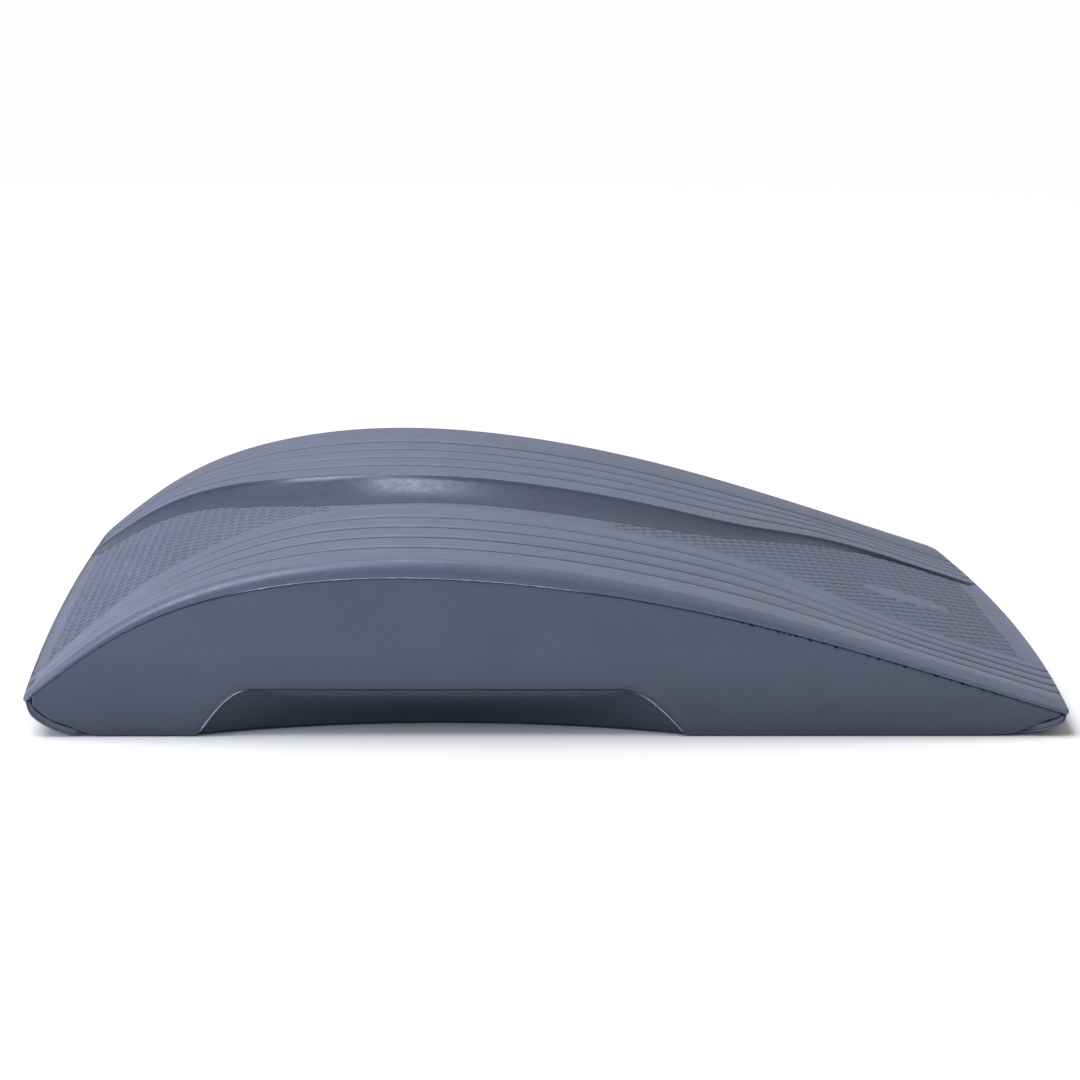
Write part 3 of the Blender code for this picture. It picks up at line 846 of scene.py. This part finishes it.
def make_floor():
    reach = 30
    mesh = bpy.data.meshes.new("studio_floor")
    corners = [(-reach, -reach, 0), (reach, -reach, 0), (reach, reach, 0), (-reach, reach, 0)]
    mesh.from_pydata(corners, [], [(0, 1, 2, 3)])
    floor = bpy.data.objects.new("studio_floor", mesh)
    bpy.context.scene.collection.objects.link(floor)
    floor.location.z = cad_low[2] - 0.1 * MM
    paint = bpy.data.materials.new("pale floor")
    paint.use_nodes = True
    shader = paint.node_tree.nodes["Principled BSDF"]
    shader.inputs["Base Color"].default_value = (0.86, 0.86, 0.86, 1)
    shader.inputs["Roughness"].default_value = 0.9
    shader.inputs["Specular IOR Level"].default_value = 0.1
    mesh.materials.append(paint)


def add_sun(name, towards, strength, softness):
    """Even, soft light that comes from a direction. softness is its angle across, in degrees."""
    light = bpy.data.lights.new(name, "SUN")
    light.energy = strength
    light.angle = math.radians(softness)
    lamp = bpy.data.objects.new(name, light)
    bpy.context.scene.collection.objects.link(lamp)
    lamp.rotation_euler = Vector(towards).to_track_quat("Z", "Y").to_euler()


def add_softbox(name, place, target, size, power, colour=(1, 1, 1)):
    """A soft rectangular light that faces a target point."""
    light = bpy.data.lights.new(name, "AREA")
    light.shape = "RECTANGLE"
    light.size, light.size_y = size
    light.energy = power
    light.color = colour
    lamp = bpy.data.objects.new(name, light)
    bpy.context.scene.collection.objects.link(lamp)
    lamp.location = place
    lamp.rotation_euler = (Vector(target) - Vector(place)).to_track_quat("-Z", "Y").to_euler()


def light_studio():
    world = bpy.data.worlds.new("studio")
    world.use_nodes = True
    world.node_tree.nodes["Background"].inputs["Color"].default_value = (1, 1, 1, 1)
    world.node_tree.nodes["Background"].inputs["Strength"].default_value = 0.42
    bpy.context.scene.world = world
    add_sun("overhead", (-0.45, 0.05, 1.0), 2.55, 40)
    add_softbox("crest", place=(-0.065, 0.85, 1.32), target=(-0.065, 0.03, 0.06),
                size=(0.25, 0.6), power=3.0, colour=(0.85, 0.93, 1.15))
    add_softbox("left", place=(-0.75, -0.40, 0.22), target=(-0.18, -0.15, 0.02),
                size=(0.3, 0.3), power=2.2, colour=(0.8, 0.93, 1.15))


def add_camera():
    """A long lens from the front, turned a little to the right and tilted down."""
    lens = bpy.data.cameras.new("camera")
    lens.sensor_width = 36
    lens.lens = LENS
    lens.clip_start = 0.01
    lens.clip_end = 100
    camera = bpy.data.objects.new("camera", lens)
    bpy.context.scene.collection.objects.link(camera)
    turn = Matrix.Rotation(math.radians(CAMERA_TURN), 4, "Z")
    tilt = Matrix.Rotation(math.radians(90 - CAMERA_DOWN), 4, "X")
    roll = Matrix.Rotation(math.radians(CAMERA_ROLL), 4, "Z")
    camera.matrix_world = Matrix.Translation(CAMERA_PLACE) @ turn @ tilt @ roll
    bpy.context.scene.camera = camera


def main():
    bpy.context.scene.view_settings.view_transform = "Standard"
    add_camera()
    light_studio()
    make_floor()

    textured = (0.120, 0.137, 0.203)
    # The knurled skin is darkened along its valleys as painted shade
    knurled = foam_skin("knurled skin with painted valley shade", textured, 0.45, mottle=0.10, grain=0.15, valleys=0.45)
    plain = foam_skin("plain skin", textured, 0.45, mottle=0.10, grain=0.15)
    # The channel wall is smoother and glossier than the bands, and its darker colour is painted shade
    wall = foam_skin("channel wall skin with painted shade", (0.045, 0.055, 0.094), 0.30, mottle=0.05, grain=0.06)
    banded = foam_skin("banded skin", textured, 0.45, mottle=0.10, grain=0.10, streaks=0.4)
    # The near-black colour in the grooves is painted shade
    groove_shade_skin = foam_skin("painted groove shade", (0.020, 0.023, 0.034), 0.7, mottle=0.10)
    rolled = foam_skin("rolled edge skin", (0.092, 0.110, 0.172), 0.42, mottle=0.14, grain=0.12)
    # The side skins' colour darkens towards the floor as painted shade
    side = foam_skin("side skin with painted foot shade", (0.078, 0.093, 0.145), 0.5, mottle=0.10, grain=0.12, painted_foot_shade=0.6)
    # The scoop's very dark colour is painted shade in the undercut hollow
    scoop = foam_skin("scoop skin with painted shade", (0.038, 0.043, 0.068), 0.55, mottle=0.12, grain=0.15)
    base = foam_skin("base skin", (0.10, 0.115, 0.17), 0.5, mottle=0.12, grain=0.15)
    flash = foam_skin("flash", (0.30, 0.33, 0.42), 0.5, mottle=0.10, grain=0.1)
    foam = open_foam("filling foam", (0.45, 0.45, 0.46))

    make_top_skin([knurled, plain, wall, banded, groove_shade_skin, rolled])
    make_side_skin("side_skin_front", -1, "side_panel_front", side)
    make_side_skin("side_skin_rear", 1, "side_panel_rear", side)
    make_grip_scoop("grip_scoop_front", -1, "grip_liner_front", scoop)
    make_grip_scoop("grip_scoop_rear", 1, "grip_liner_rear", scoop)
    make_base_skin(base)
    make_foam(foam)
    make_flashes(flash)


main()
